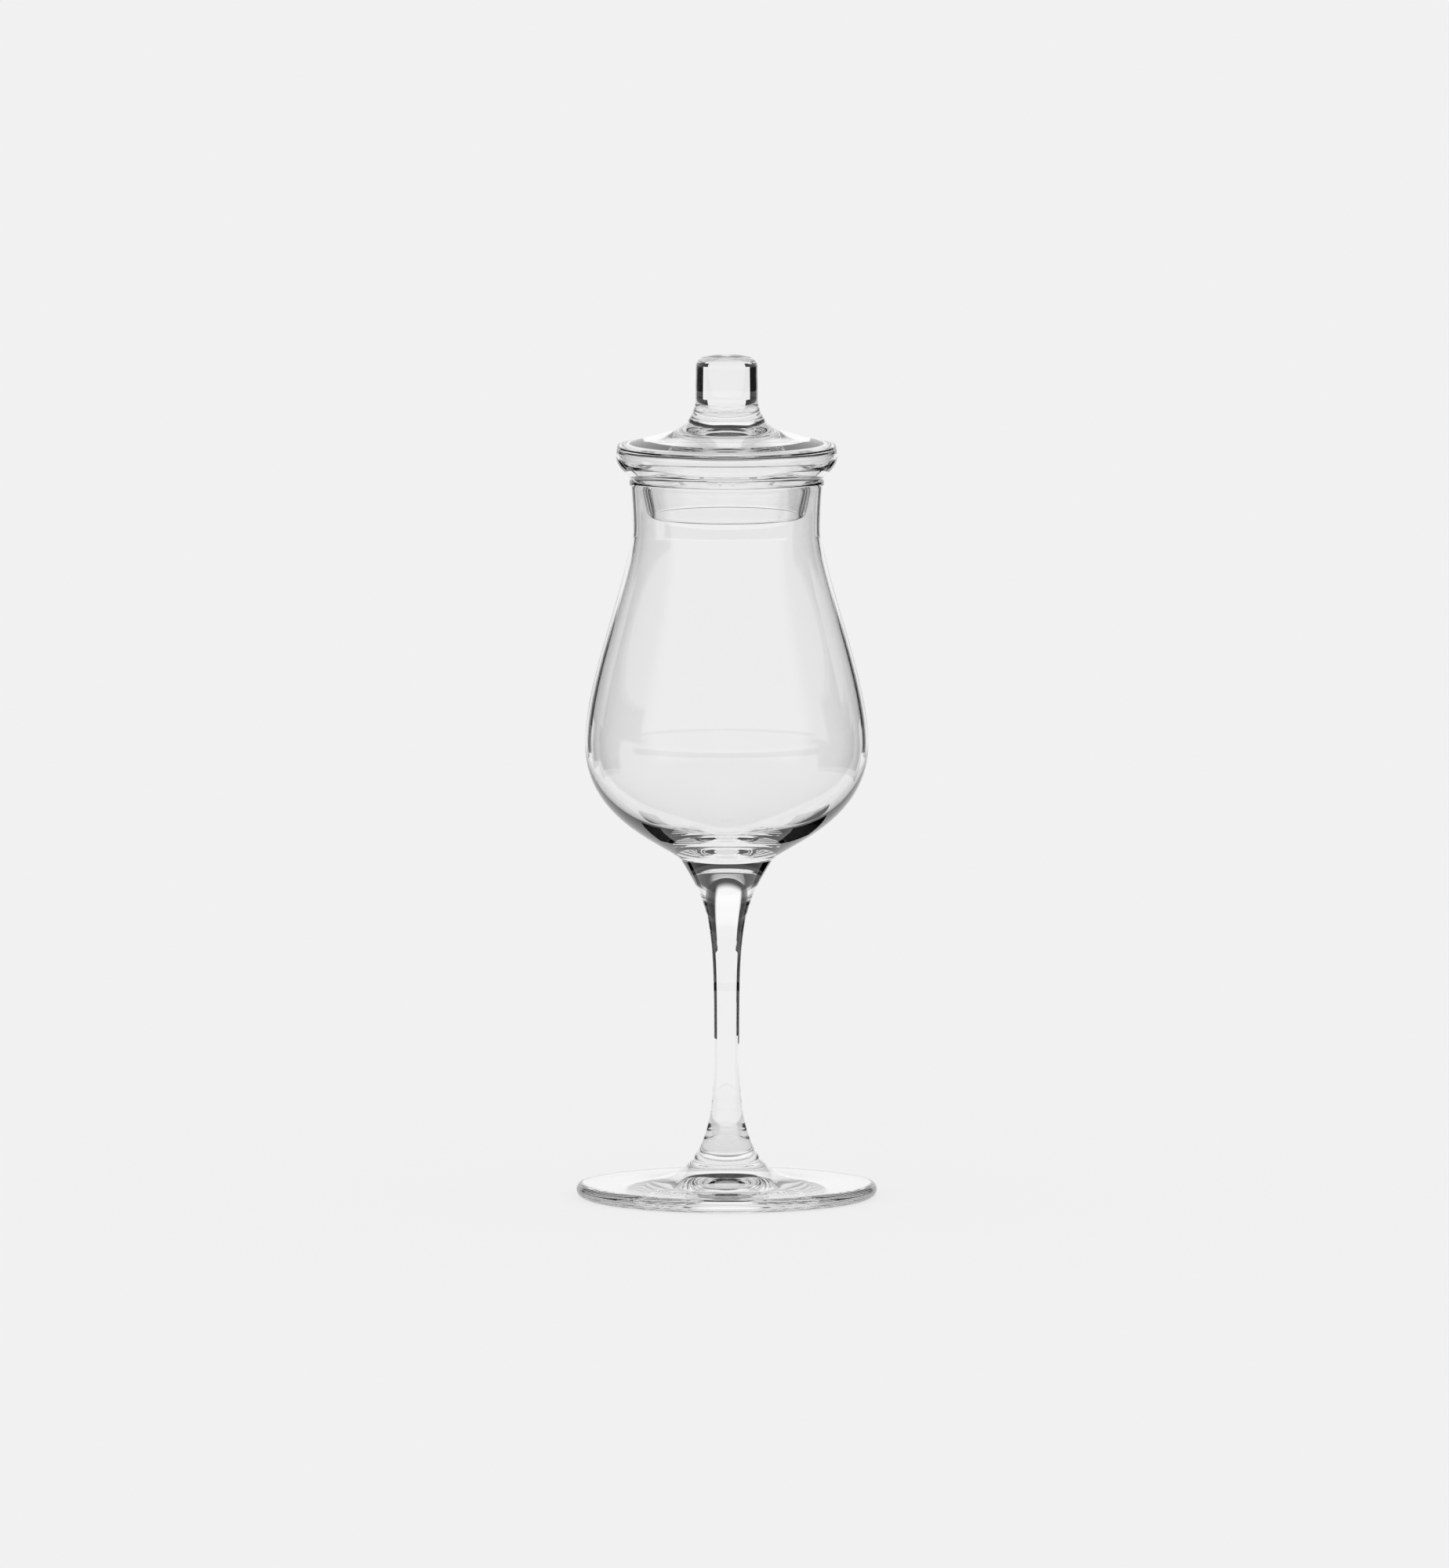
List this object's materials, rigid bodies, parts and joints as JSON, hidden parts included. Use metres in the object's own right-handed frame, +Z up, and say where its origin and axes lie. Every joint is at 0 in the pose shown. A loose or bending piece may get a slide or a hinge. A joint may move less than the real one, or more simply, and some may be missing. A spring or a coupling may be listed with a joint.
{
  "type": "whisky glass with lid",
  "caption": "Stemmed whisky tasting glass in clear glass: a tulip bowl on a slim stem and round foot, with a loose knobbed lid that keeps the aroma in.",
  "frame": {"origin": "centre of the foot on the table", "axes": "+Z up along the axis of the glass"},
  "size_m": [0.066, 0.066, 0.1856],
  "materials": {
    "blown_glass": "clear colourless blown glass, fire-polished",
    "solid_glass": "clear colourless solid glass, drawn and tooled"
  },
  "bodies": {
    "glass": {"foot": "solid_glass", "stem": "solid_glass", "bowl": "blown_glass"},
    "lid": {"lid_shell": "blown_glass", "lid_knob": "solid_glass"}
  },
  "joints": [
    {"name": "lid_lift", "type": "slide", "parent": "glass", "child": "lid", "axis": [0, 0, 1], "range_m": [0, 0.06]}
  ]
}
